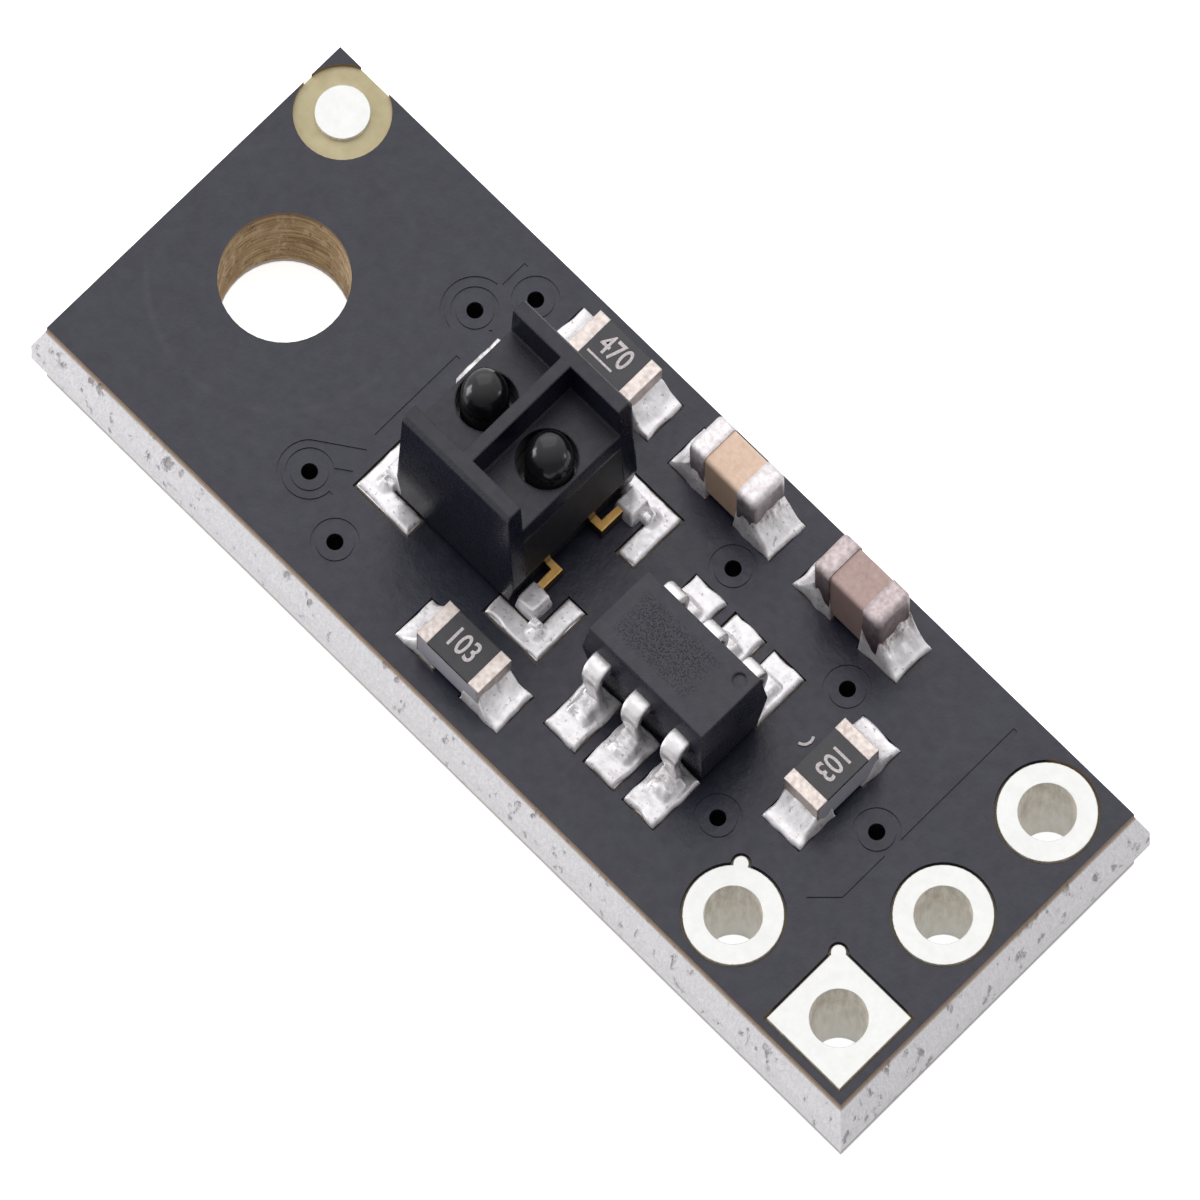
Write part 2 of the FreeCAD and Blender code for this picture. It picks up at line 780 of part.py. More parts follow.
# Resin blocks: a drafted block under the plate with a lens dome above it
def make_resin(label, side_x, inner_parts):
    body = new_body(label + "_solid", size("sensor_x"), size("sensor_y"), board_top)
    gap, waist = size("resin_gap"), size("housing_waist_height")
    top = plate_bottom - gap
    near = size("divider_width") / 2 + gap
    side = new_sketch(body, label + "_side", "XZ_Plane")
    corners = [(near, size("resin_floor")), (half_foot, size("resin_floor")),
               (half_waist, waist), (end_at(top), top), (near, top)]
    polygon(side, [(x * side_x, z) for x, z in corners])
    pad(body, side, well_width - gap * 2, side="Symmetric")
    rim = size("plate_top") + size("lens_rim_height")
    stem = body.newObject("PartDesign::AdditiveCylinder", label + "_stem")
    bind(stem, "Radius", size("lens_radius"))
    bind(stem, "Height", rim - top)
    dome = body.newObject("PartDesign::AdditiveEllipsoid", label + "_dome")
    bind(dome, "Radius1", size("lens_dome_height"))
    bind(dome, "Radius2", size("lens_radius"))
    bind(dome, "Radius3", size("lens_radius"))
    dome.Angle1 = 0
    plane = next(item for item in body.Origin.OriginFeatures if item.Role == "XY_Plane")
    for feature, z in ((stem, top), (dome, rim)):
        feature.AttachmentSupport = [(plane, "")]
        feature.MapMode = "FlatFace"
        bind(feature, "AttachmentOffset.Base.x", lens_x * side_x)
        bind(feature, "AttachmentOffset.Base.z", z)
    return keep(cut(label + "_moulded", body, fuse(label + "_inside", inner_parts)), label)


def make_sensor():
    make_housing()
    wires = []
    for name, side_x in (("emitter", -1), ("detector", 1)):
        leads = [make_sensor_lead(f"{name}_lead_rear", side_x, 1, True),
                 make_sensor_lead(f"{name}_lead_front", side_x, -1, False)]
        die = block(name + "_chip", size("die_side"), size("die_side"), size("die_height"),
                    size("sensor_x") + lens_x * side_x, size("sensor_y"), lead_top)
        keep(die, name + "_die")
        wire = make_bond_wire(name + "_wire", side_x)
        wires.append(wire)
        make_resin(name + "_block", side_x, leads + [die, wire])
    keep(group("bond_wire_group", wires), "bond_wires")


# Driver: a drafted moulding round its parting line, and six gull-wing leads
def make_driver():
    body = new_body("driver_moulding", size("driver_x"), size("driver_y"), board_top)
    parting = size("driver_parting")
    for name, length, reverse in (
            ("driver_upper", size("driver_height") - parting, False),
            ("driver_lower", parting - size("driver_standoff"), True)):
        sketch = new_sketch(body, name, lift=parting)
        centred_rectangle(sketch, size("driver_length"), size("driver_width"))
        pad(body, sketch, length, -size("driver_draft"), reverse=reverse)
    dimple = new_sketch(body, "driver_dimple", lift=size("driver_height"))
    inset = size("driver_dimple_radius") * 2.6
    circle(dimple, size("driver_dimple_radius"), size("driver_length") / 2 - inset,
           size("driver_width") / 2 - inset)
    pocket(body, dimple, size("driver_dimple_depth"))
    leads = [make_driver_lead(row, step) for row in (-1, 1) for step in (-1, 0, 1)]
    return keep(cut("driver_cut", body, fuse("driver_lead_set", leads)), "driver_body")


def make_driver_lead(row, step):
    label = f"driver_lead_{'front' if row < 0 else 'rear'}_{step + 2}"
    x = size("driver_x") + size("driver_pitch") * step
    body = new_body(label + "_body", x, size("driver_y"), board_top, 0 if row > 0 else 180)
    thick, bed = size("driver_lead_thickness"), size("solder_bed")
    level = size("driver_parting") - thick / 2
    inner = size("driver_width") / 2 - size("driver_lead_width")
    tip = size("driver_lead_span") / 2
    heel = tip - size("driver_foot_length")
    knee = heel - size("driver_lead_lean")
    side = new_sketch(body, label + "_side", "YZ_Plane")
    polygon(side, [
        (inner, level), (knee - thick, level), (heel - thick, bed), (tip, bed),
        (tip, bed + thick), (heel, bed + thick), (knee, level + thick),
        (inner, level + thick)])
    pad(body, side, size("driver_lead_width"), side="Symmetric")

    def outer_bend(edge):
        middle = edge.CenterOfMass
        upper = abs(middle.y - knee.value) < 1e-3 and middle.z > level.value
        lower = abs(middle.y - heel.value + thick.value) < 1e-3 and middle.z < level.value
        return upper or lower

    def inner_bend(edge):
        middle = edge.CenterOfMass
        upper = abs(middle.y - knee.value + thick.value) < 1e-3
        lower = abs(middle.y - heel.value) < 1e-3
        return upper or lower

    radius = size("driver_bend_radius")
    round_edges(body, "Fillet", outer_bend, "Radius", radius + thick)
    round_edges(body, "Fillet", inner_bend, "Radius", radius)
    return keep(body, label)


# Chip resistors: ceramic, a dark overcoat and two wrapped terminals
def make_resistor(name, x, y, turn):
    bed, film = size("solder_bed"), size("resistor_film")
    length, width = size("resistor_length"), size("resistor_width")
    height, strip_width = size("resistor_height"), size("resistor_strip")
    ceramic = new_body(name + "_ceramic_body", x, y, board_top + bed + film, turn)
    centred_rectangle(new_sketch(ceramic, name + "_ceramic_outline"), length - film * 2, width)
    pad(ceramic, ceramic.Group[-1], height - film * 2)
    keep(ceramic, name + "_ceramic")
    coat = new_body(name + "_coat_body", x, y, board_top + bed + height - film, turn)
    centred_rectangle(new_sketch(coat, name + "_coat_outline"), length - strip_width * 2, width)
    pad(coat, coat.Group[-1], film)
    keep(coat, name + "_overcoat")
    for end, spin in (("left", 180), ("right", 0)):
        body = new_body(f"{name}_{end}_body", x, y, board_top + bed, turn + spin)
        side = new_sketch(body, f"{name}_{end}_side", "XZ_Plane")
        out, wrap = length / 2, length / 2 - strip_width
        inside = out - film
        polygon(side, [(wrap, 0), (out, 0), (out, height), (wrap, height),
                       (wrap, height - film), (inside, height - film), (inside, film),
                       (wrap, film)])
        pad(body, side, width, side="Symmetric")
        keep(body, f"{name}_terminal_{end}")


# Chip capacitors: ceramic body inside two rounded terminal caps
def rounded(name, base, radius, wanted):
    doc.recompute()
    item = doc.addObject("Part::Fillet", name)
    item.Base = base
    item.Edges = [(number, radius.value, radius.value)
                  for number, edge in enumerate(base.Shape.Edges, start=1) if wanted(edge)]
    return item


def make_capacitor(name, x, y, height):
    bed, film = size("solder_bed"), size("capacitor_film")
    length, width = size("capacitor_length"), size("capacitor_width")
    terminal, radius = size("capacitor_terminal"), size("capacitor_rounding")
    z = board_top + bed
    core = block(name + "_core", length - film * 2, width - film * 2, height - film * 2,
                 x, y, z + film)

    ceramic = rounded(name + "_core_rounded", core, radius - film, lambda edge: True)
    keep(ceramic, name + "_ceramic")
    for end, sign in (("left", -1), ("right", 1)):
        middle = dim(x) + (length - terminal) / 2 * sign
        cap = block(f"{name}_{end}_cap", terminal, width, height, middle, y, z)
        face = x + length.value / 2 * sign

        def outer_edge(edge):
            along = edge.BoundBox.XLength > terminal.value / 2
            return along or abs(edge.CenterOfMass.x - face) < 1e-3

        soft = rounded(f"{name}_{end}_soft", cap, radius, outer_edge)
        keep(cut(f"{name}_{end}_shell", soft, ceramic), f"{name}_terminal_{end}")


# Solder joints
def chip_joint(name, x, y, turn, length, joint_height):
    """Concave solder between a chip's terminals and its pads, as two solids."""
    bed, coat, skin = size("solder_bed"), size("solder_coat"), size("solder_skin")
    outer = size("chip_pads_span") / 2
    inner = outer - size("chip_pad_length")
    end = length / 2
    sides = []
    for tag, spin in (("left", 180), ("right", 0)):
        body = new_body(f"{name}_joint_{tag}", x, y, board_top, turn + spin)
        side = new_sketch(body, f"{name}_joint_{tag}_side", "XZ_Plane")
        polygon(side, [(inner, 0), (outer, 0), (outer, coat), (end + skin, coat),
                       (end + skin, joint_height), (end, joint_height), (end, bed),
                       (inner, bed)])
        pad(body, side, size("chip_pad_width"), side="Symmetric")
        reach = smaller(outer - end - skin, joint_height - coat) * 0.92

        def hollow(edge):
            middle = edge.CenterOfMass
            return (abs(middle.x - end.value - skin.value) < 1e-3
                    and abs(middle.z - coat.value) < 1e-3)

        round_edges(body, "Fillet", hollow, "Radius", reach)
        sides.append(body)
    return keep(group(name + "_joints", sides), "solder_" + name)


def driver_joints():
    joints = []
    for row, step, x, y in driver_pad_places():
        tag = f"{'front' if row < 0 else 'rear'}_{step + 2}"
        coat = block(f"driver_coat_{tag}", size("driver_pad_width"), size("driver_pad_length"),
                     size("solder_coat"), x, y, board_top)
        lead = doc.getObject(f"driver_lead_{tag}_body")
        joints.append(cut(f"driver_joint_{tag}", coat, lead))
    return keep(group("driver_joints", joints), "solder_driver")


def sensor_joints():
    joints = []
    coats = sensor_pads("sensor_coat", 0, size("solder_coat"), board_top)
    for (name, side_x, side_y), coat in zip(QUADRANTS, coats):
        x = size("sensor_x") + size("sensor_lead_reach") * side_x
        length = size("sensor_joint_length")
        end_y = size("sensor_y") + size("sensor_arm_end") * side_y
        y = end_y - (length / 2 - size("sensor_pad_arm") / 2) * side_y
        blob = block(f"sensor_blob_{name}", size("sensor_joint_width"), length,
                     size("sensor_joint_height"), x, y, board_top)
        whole = fuse(f"sensor_joint_{name}_whole", [coat, blob])
        unit = "emitter" if side_x < 0 else "detector"
        end = "rear" if side_y > 0 else "front"
        lead = doc.getObject(f"{unit}_lead_{end}_body")
        joints.append(cut(f"sensor_joint_{name}", whole, lead))
    return keep(group("sensor_joints", joints), "solder_sensor")


def make_chips():
    for name, x, y, turn in RESISTORS:
        make_resistor(name, x, y, turn)
        chip_joint(name, x, y, turn, size("resistor_length"), size("resistor_joint_height"))
    for name, x, y, height_name in CAPACITORS:
        make_capacitor(name, x, y, size(height_name))
        chip_joint(name, x, y, 0, size("capacitor_length"), size("capacitor_joint_height"))


make_laminate()
make_header_holes()
make_vias()
make_layers()
make_sensor()
make_driver()
make_chips()
driver_joints()
sensor_joints()
doc.recompute()

# Checks before anything is written
for item in doc.Objects:
    if "Invalid" in item.State or "Error" in item.State:
        raise RuntimeError(f"{item.Name} failed: {item.State}")
for item in nodes:
    if item.Shape.isNull() or not item.Shape.isValid() or not item.Shape.Solids:
        raise RuntimeError(f"{item.Label} has no valid shape")

os.makedirs("parts", exist_ok=True)
for item in nodes:
    item.Shape.exportStep(f"parts/{item.Label}.step")
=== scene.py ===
import bmesh
import bpy
import json
import math
from mathutils import Euler, Matrix, Vector, noise


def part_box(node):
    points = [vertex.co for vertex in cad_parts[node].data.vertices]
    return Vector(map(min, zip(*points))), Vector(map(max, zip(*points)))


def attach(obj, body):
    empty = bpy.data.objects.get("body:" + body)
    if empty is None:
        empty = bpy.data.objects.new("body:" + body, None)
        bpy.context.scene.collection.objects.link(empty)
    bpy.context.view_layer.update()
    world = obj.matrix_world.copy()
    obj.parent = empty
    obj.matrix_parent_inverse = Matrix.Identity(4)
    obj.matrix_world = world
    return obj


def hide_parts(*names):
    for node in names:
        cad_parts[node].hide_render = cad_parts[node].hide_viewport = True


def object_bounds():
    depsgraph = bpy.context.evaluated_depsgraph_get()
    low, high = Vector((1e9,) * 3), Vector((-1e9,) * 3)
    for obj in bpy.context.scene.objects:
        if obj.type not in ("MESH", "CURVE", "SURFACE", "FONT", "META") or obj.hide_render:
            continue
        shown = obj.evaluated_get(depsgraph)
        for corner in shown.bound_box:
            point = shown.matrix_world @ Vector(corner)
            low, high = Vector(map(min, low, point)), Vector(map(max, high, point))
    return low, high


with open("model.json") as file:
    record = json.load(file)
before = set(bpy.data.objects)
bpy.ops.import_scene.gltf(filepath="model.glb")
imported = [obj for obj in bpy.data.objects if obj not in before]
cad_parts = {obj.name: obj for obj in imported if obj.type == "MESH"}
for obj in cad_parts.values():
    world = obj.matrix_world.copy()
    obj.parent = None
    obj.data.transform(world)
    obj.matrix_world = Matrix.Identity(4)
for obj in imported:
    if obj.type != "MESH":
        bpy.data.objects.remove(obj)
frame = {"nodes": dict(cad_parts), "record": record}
cad_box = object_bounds()
nodes = frame["nodes"]

MM = 0.001  # scene units are metres, sizes below are millimetres


def mm(*values):
    return Vector([value * MM for value in values])


def node_box(name):
    """Lowest and highest corner of a CAD node, in millimetres."""
    low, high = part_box(name)
    return Vector(low) / MM, Vector(high) / MM


BOARD_TOP = node_box("solder_mask_top")[1].z
BOARD_LOW, BOARD_HIGH = node_box("board_laminate")


# Camera and lights
PHOTO_SIZE = 1200
FOCAL_PIXELS = 28260.0
CAMERA_DISTANCE = 486.8
CAMERA_AZIMUTH = math.radians(44.99)
CAMERA_ELEVATION = math.radians(51.16)
CAMERA_TARGET = Vector((0.532, -0.226, BOARD_TOP))
PHOTO_STRETCH = 1.25  # the photograph is taller than the scene by this much


def make_camera():
    """A long lens. The stretch comes from a sheared camera axis, and the longer
    distance keeps the board's perspective as it was before the shear."""
    azimuth, elevation = CAMERA_AZIMUTH, CAMERA_ELEVATION
    back = Vector((math.sin(azimuth) * math.cos(elevation),
                   -math.cos(azimuth) * math.cos(elevation), math.sin(elevation)))
    right = Vector((math.cos(azimuth), math.sin(azimuth), 0))
    up = back.cross(right)
    lean = math.sqrt(1 - 1 / PHOTO_STRETCH ** 2)
    sheared_up = up / PHOTO_STRETCH + back * lean
    reach = 1 + lean * PHOTO_STRETCH * math.tan(elevation)
    place = (CAMERA_TARGET + back * CAMERA_DISTANCE * reach) * MM

    camera = bpy.data.cameras.new("camera")
    camera.sensor_width = 36
    camera.lens = FOCAL_PIXELS * reach * camera.sensor_width / PHOTO_SIZE
    camera.clip_start = 0.1
    camera.clip_end = 10
    item = bpy.data.objects.new("camera", camera)
    bpy.context.scene.collection.objects.link(item)
    holder = bpy.data.objects.new("camera_holder", None)
    bpy.context.scene.collection.objects.link(holder)
    matrix = Matrix.Identity(4)
    for column, vector in enumerate((right, sheared_up, back)):
        for row in range(3):
            matrix[row][column] = vector[row]
    for row in range(3):
        matrix[row][3] = place[row]
    item.parent = holder
    item.matrix_parent_inverse = matrix
    bpy.context.scene.camera = item


def soft_light(name, direction, distance, size, radiance):
    """A lamp that faces the board's middle. Size is its width and height. Lengths are in
    millimetres."""
    direction = Vector(direction).normalized()
    lamp = bpy.data.lights.new(name, "AREA")
    lamp.shape = "RECTANGLE"
    lamp.size, lamp.size_y = (side * MM for side in size)
    lamp.energy = radiance * math.pi * lamp.size * lamp.size_y
    item = bpy.data.objects.new(name, lamp)
    item.location = mm(*(CAMERA_TARGET + direction * distance))
    item.rotation_euler = direction.to_track_quat("Z", "Y").to_euler()
    bpy.context.scene.collection.objects.link(item)


REAR = Vector((-0.48, 0.42, 0.77))  # level faces mirror this direction to the camera


def make_lights():
    """One large soft box behind the board and two small ones beside it."""
    soft_light("rear_light", REAR, 120, (120, 120), 0.72)
    soft_light("left_light", (-0.86, -0.47, 0.30), 130, (56, 56), 5.5)
    soft_light("right_light", (0.62, 0.75, 0.28), 130, (30, 30), 3.0)


def floor_look():
    """Pale floor. What the camera and reflections see of it is lifted towards white."""
    material = bpy.data.materials.new("studio_floor")
    material.use_nodes = True
    tree = material.node_tree
    tree.nodes.clear()
    paint = tree.nodes.new("ShaderNodeBsdfDiffuse")
    paint.inputs["Color"].default_value = (0.9, 0.9, 0.9, 1)
    path = tree.nodes.new("ShaderNodeLightPath")

    def combined(operation, first, second):
        node = tree.nodes.new("ShaderNodeMath")
        node.operation = operation
        for socket, value in zip(node.inputs, (first, second)):
            if isinstance(value, float):
                socket.default_value = value
            else:
                tree.links.new(value, socket)
        return node.outputs[0]

    mirrored = combined("MAXIMUM", path.outputs["Is Glossy Ray"],
                        path.outputs["Is Transmission Ray"])
    glow = combined("MAXIMUM", combined("MULTIPLY", path.outputs["Is Camera Ray"], SEEN_LIFT),
                    combined("MULTIPLY", mirrored, MIRRORED_LIFT))
    lift = tree.nodes.new("ShaderNodeEmission")
    tree.links.new(glow, lift.inputs["Strength"])
    both = tree.nodes.new("ShaderNodeAddShader")
    output = tree.nodes.new("ShaderNodeOutputMaterial")
    tree.links.new(paint.outputs[0], both.inputs[0])
    tree.links.new(lift.outputs[0], both.inputs[1])
    tree.links.new(both.outputs[0], output.inputs["Surface"])
    return material


SEEN_LIFT, MIRRORED_LIFT = 0.7, 0.2
FLOOR_HALF = 500
FLOOR_DROP = 0.02


def make_floor():
    level = cad_box[0][2] / MM - FLOOR_DROP
    corners = [(-1, -1), (1, -1), (1, 1), (-1, 1)]
    mesh = bpy.data.meshes.new("studio_floor")
    mesh.from_pydata([mm(FLOOR_HALF * x, FLOOR_HALF * y, level) for x, y in corners], [],
                     [(0, 1, 2, 3)])
    mesh.materials.append(floor_look())
    item = bpy.data.objects.new("studio_floor", mesh)
    bpy.context.scene.collection.objects.link(item)


WORLD_DIM, WORLD_BRIGHT = 0.30, 0.98


def make_world():
    """A soft grey studio that brightens towards the rear light."""
    world = bpy.data.worlds.new("studio")
    world.use_nodes = True
    tree = world.node_tree
    tree.nodes.clear()
    view = tree.nodes.new("ShaderNodeTexCoord")
    towards = tree.nodes.new("ShaderNodeVectorMath")
    towards.operation = "DOT_PRODUCT"
    towards.inputs[1].default_value = REAR.normalized()
    fade = tree.nodes.new("ShaderNodeMapRange")
    fade.inputs["From Min"].default_value = -0.1
    fade.inputs["From Max"].default_value = 0.8
    fade.inputs["To Min"].default_value = WORLD_DIM
    fade.inputs["To Max"].default_value = WORLD_BRIGHT
    fill = tree.nodes.new("ShaderNodeBackground")
    fill.inputs["Color"].default_value = (0.98, 0.98, 1, 1)
    output = tree.nodes.new("ShaderNodeOutputWorld")
    tree.links.new(view.outputs["Generated"], towards.inputs[0])
    tree.links.new(towards.outputs["Value"], fade.inputs["Value"])
    tree.links.new(fade.outputs["Result"], fill.inputs["Strength"])
    tree.links.new(fill.outputs[0], output.inputs["Surface"])
    bpy.context.scene.world = world
    bpy.context.scene.view_settings.view_transform = "Standard"


# Materials
class Look:
    """A principled material with a few shorthand nodes. Lengths are in millimetres."""

    def __init__(self, name, colour, roughness=0.5, metallic=0.0, specular=0.5, coat=0.0):
        self.material = bpy.data.materials.new(name)
        self.material.use_nodes = True
        self.tree = self.material.node_tree
        self.shader = self.tree.nodes["Principled BSDF"]
        self.set(self.shader, "Base Color", (*colour, 1))
        self.set(self.shader, "Roughness", roughness)
        self.set(self.shader, "Metallic", metallic)
        self.set(self.shader, "Specular IOR Level", specular)
        self.set(self.shader, "Coat Weight", coat)
        place = self.node("ShaderNodeTexCoord").outputs["Object"]
        self.place = self.math("MULTIPLY", place, 1000, vector=True)

    def node(self, kind):
        return self.tree.nodes.new(kind)

    def set(self, node, socket, value):
        """Links a socket, or sets a constant on it."""
        socket = node.inputs[socket]
        if isinstance(value, bpy.types.NodeSocket):
            self.tree.links.new(value, socket)
        elif isinstance(value, (int, float)) and hasattr(socket.default_value, "__len__"):
            socket.default_value = (value,) * len(socket.default_value)
        else:
            socket.default_value = value

    def math(self, operation, first, second=0.0, vector=False):
        node = self.node("ShaderNodeVectorMath" if vector else "ShaderNodeMath")
        node.operation = operation
        self.set(node, 0, first)
        self.set(node, 1, second)
        return node.outputs[0]

    def scaled(self, x, y, z):
        return self.math("MULTIPLY", self.place, (x, y, z), vector=True)

    def axis(self, name, source=None):
        node = self.node("ShaderNodeSeparateXYZ")
        self.set(node, 0, source or self.place)
        return node.outputs[name]

    def facing(self, name):
        """How far the surface faces along one axis, from -1 to 1."""
        return self.axis(name, self.node("ShaderNodeNewGeometry").outputs["True Normal"])

    def noise(self, scale, detail=3, roughness=0.5, distortion=0.0, place=None):
        node = self.node("ShaderNodeTexNoise")
        self.set(node, "Vector", place or self.place)
        self.set(node, "Scale", scale)
        self.set(node, "Detail", detail)
        self.set(node, "Roughness", roughness)
        self.set(node, "Distortion", distortion)
        return node.outputs["Fac"]

    def cells(self, scale, place=None):
        node = self.node("ShaderNodeTexVoronoi")
        self.set(node, "Vector", place or self.place)
        self.set(node, "Scale", scale)
        return node.outputs["Distance"]

    def ramp(self, value, low, high, start=0.0, end=1.0):
        """Maps low..high of a value to start..end, held at both ends."""
        node = self.node("ShaderNodeMapRange")
        self.set(node, "Value", value)
        self.set(node, "From Min", low)
        self.set(node, "From Max", high)
        self.set(node, "To Min", start)
        self.set(node, "To Max", end)
        return node.outputs["Result"]

    def distance(self, point, level=False):
        """How far the surface is from a point. Level leaves the height out."""
        place, point = self.place, Vector(point)
        if level:
            place, point.z = self.scaled(1, 1, 0), 0
        node = self.node("ShaderNodeVectorMath")
        node.operation = "DISTANCE"
        self.set(node, 0, place)
        self.set(node, 1, point)
        return node.outputs["Value"]

    def mix(self, amount, first, second):
        node = self.node("ShaderNodeMix")
        node.data_type = "RGBA"
        self.set(node, "Factor", amount)
        for index, colour in ((6, first), (7, second)):
            value = colour if isinstance(colour, bpy.types.NodeSocket) else (*colour, 1)
            self.set(node, index, value)
        return node.outputs[2]

    def soften(self, radius):
        """Rounds the look of sharp edges by a radius."""
        node = self.node("ShaderNodeBevel")
        node.samples = 4
        self.set(node, "Radius", radius * MM)
        return node.outputs["Normal"]

    def bump(self, height, distance, normal=None, strength=1.0):
        node = self.node("ShaderNodeBump")
        self.set(node, "Height", height)
        self.set(node, "Distance", distance * MM)
        self.set(node, "Strength", strength)
        if normal is not None:
            self.set(node, "Normal", normal)
        return node.outputs["Normal"]

    def worn(self, roughness):
        """Uneven roughness. Upright faces are smoother than level ones."""
        level = self.ramp(self.noise(6, 3), 0.3, 0.7, roughness * 0.9, roughness * 1.1)
        upright = self.ramp(self.math("ABSOLUTE", self.facing("Z")), 0.2, 0.6, 0.55, 1)
        return self.math("MULTIPLY", level, upright)

    def grain(self, scale):
        """Fine height noise that fades on upright faces."""
        level = self.ramp(self.math("ABSOLUTE", self.facing("Z")), 0.2, 0.6, 0.08, 1)
        return self.math("MULTIPLY", self.noise(scale, 3, 0.6), level)

    def colour(self, value):
        self.set(self.shader, "Base Color", value)

    def roughness(self, value):
        self.set(self.shader, "Roughness", value)

    def normal(self, value):
        self.set(self.shader, "Normal", value)


def laminate_look():
    """Sawn glass fibre: pale and pitted outside, yellowish under windows, brown when drilled."""
    look = Look("laminate", (0.68, 0.66, 0.68), 0.75)
    along = look.noise(1.0, 4, 0.7, place=look.scaled(6, 6, 40))
    weave = look.noise(1.0, 5, 0.75, place=look.scaled(18, 18, 14))
    pits = look.noise(4.5, 3, 0.6)
    sides = look.mix(look.ramp(weave, 0.36, 0.62), (0.87, 0.84, 0.87), (1.0, 0.99, 1.0))
    sides = look.mix(look.ramp(along, 0.55, 0.75, 0, 0.35), sides, (0.84, 0.76, 0.70))
    sides = look.mix(look.ramp(pits, 0.60, 0.68, 0, 0.7), sides, (0.40, 0.36, 0.37))
    height = look.axis("Z")
    sides = look.mix(look.ramp(height, BOARD_HIGH.z - 0.05, BOARD_HIGH.z - 0.02, 0, 0.8), sides,
                     (0.34, 0.22, 0.12))
    from_hole = look.distance(node_hole("mounting_hole"), level=True)
    turned = look.noise(1.0, 5, 0.7, place=look.scaled(1.5, 1.5, 30))
    bore = look.mix(look.ramp(turned, 0.35, 0.65), (0.30, 0.17, 0.08), (0.78, 0.60, 0.36))
    speckled = look.ramp(look.noise(6, 4, 0.7), 0.50, 0.66, 0, 0.6)
    bore = look.mix(speckled, bore, (0.88, 0.78, 0.55))
    colour = look.mix(look.ramp(from_hole, 1.3, 1.25), sides, bore)
    low, high = node_box("fiducial_pad")
    away = look.distance(((low.x + high.x) / 2, (low.y + high.y) / 2, BOARD_TOP))
    clear = look.mix(look.ramp(look.noise(3, 3), 0.3, 0.7), (0.46, 0.39, 0.22), (0.56, 0.49, 0.30))
    window = look.mix(look.ramp(away, 1.0, 1.2), clear, (0.16, 0.13, 0.08))
    level = look.ramp(look.facing("Z"), 0.9, 0.95)
    shallow = look.ramp(height, BOARD_HIGH.z - 0.12, BOARD_HIGH.z - 0.06)
    near = look.math("MULTIPLY", shallow, look.ramp(away, 1.15, 1.25, 1, 0))
    bare = look.math("MAXIMUM", level, near)
    look.colour(look.mix(bare, colour, window))
    sawn = look.ramp(look.facing("Z"), 0.9, 0.95, 1, 0)
    rough = look.bump(look.math("MULTIPLY", weave, sawn), 0.03)
    dents = look.math("MULTIPLY", look.ramp(pits, 0.6, 0.75, 1, 0), sawn)
    look.normal(look.bump(dents, 0.05, rough))
    return look.material


def mask_look():
    """Dark bluish grey mask: satin, with a slight orange peel, a faint washer mark round the
    mounting hole and tan edges where it is cut."""
    look = Look("solder_mask", (0.012, 0.012, 0.028), 0.42, specular=0.50)
    peel = look.noise(2.2, 4, 0.6)
    fine = look.noise(14, 3, 0.6)
    tone = look.mix(look.ramp(peel, 0.3, 0.7), (0.009, 0.009, 0.020), (0.015, 0.015, 0.030))
    middle = node_hole("mounting_hole")
    away = look.distance((middle.x, middle.y, BOARD_TOP))
    band = look.math("ABSOLUTE", look.math("SUBTRACT", away, WASHER_RADIUS))
    trace = look.math("MULTIPLY", look.ramp(band, 0.02, 0.10, 0.5, 0),
                      look.ramp(look.noise(1.3, 2), 0.4, 0.6))
    tone = look.mix(trace, tone, (0.030, 0.030, 0.040))
    sides = look.ramp(look.math("ABSOLUTE", look.facing("Z")), 0.5, 0.8)
    low, high = node_box("solder_mask_top")
    rim_x = look.math("SUBTRACT", look.math("ABSOLUTE", look.axis("X")), high.x)
    rim_y = look.math("SUBTRACT", look.math("ABSOLUTE", look.axis("Y")), high.y)
    inner = look.ramp(look.math("MAXIMUM", rim_x, rim_y), -0.4, -0.3, 1, 0)
    from_hole = look.distance(middle, level=True)
    inner = look.math("MINIMUM", inner, look.ramp(from_hole, 1.40, 1.45))
    cut = look.mix(look.ramp(look.axis("Z"), 0.3, 0.6), (0.70, 0.66, 0.62), (0.24, 0.15, 0.08))
    look.colour(look.mix(look.math("MAXIMUM", sides, inner), cut, tone))
    look.roughness(look.ramp(look.noise(5, 4, 0.65), 0.3, 0.7, 0.36, 0.50))
    look.normal(look.bump(fine, 0.004, look.bump(peel, 0.02)))
    return look.material


WASHER_RADIUS = 2.4


def metal_look(name, dark, light, roughness, ripple=0.01, scale=4.0, edge=0.02):
    """Tin, solder, gold and copper: metal with uneven tone, polish and surface."""
    look = Look(name, light, roughness, metallic=1.0)
    tone = look.noise(scale, 5, 0.65)
    look.colour(look.mix(look.ramp(tone, 0.35, 0.65), dark, light))
    polish = look.noise(scale * 1.7, 3)
    look.roughness(look.ramp(polish, 0.3, 0.7, roughness * 0.7, roughness * 1.3))
    look.normal(look.bump(look.noise(scale * 1.3, 3), ripple, look.soften(edge)))
    return look.material


def gold_look():
    """Plated flat leads, bright on their faces, with painted shade making their upright sides nearly
    black.
    """
    look = Look("gold_plate", (0.9, 0.52, 0.15), 0.35, metallic=0.3)
    tone = look.mix(look.ramp(look.noise(6, 4), 0.3, 0.7), (0.80, 0.44, 0.10), (1.0, 0.62, 0.22))
    # Painted shade: upright sides get a near-black colour, level faces keep the plated tone.
    look.colour(look.mix(look.ramp(look.facing("Z"), 0.5, 0.9), (0.05, 0.03, 0.01), tone))
    look.roughness(look.ramp(look.noise(9, 3), 0.3, 0.7, 0.28, 0.42))
    look.normal(look.bump(look.noise(8, 3), 0.004, look.soften(0.02)))
    return look.material


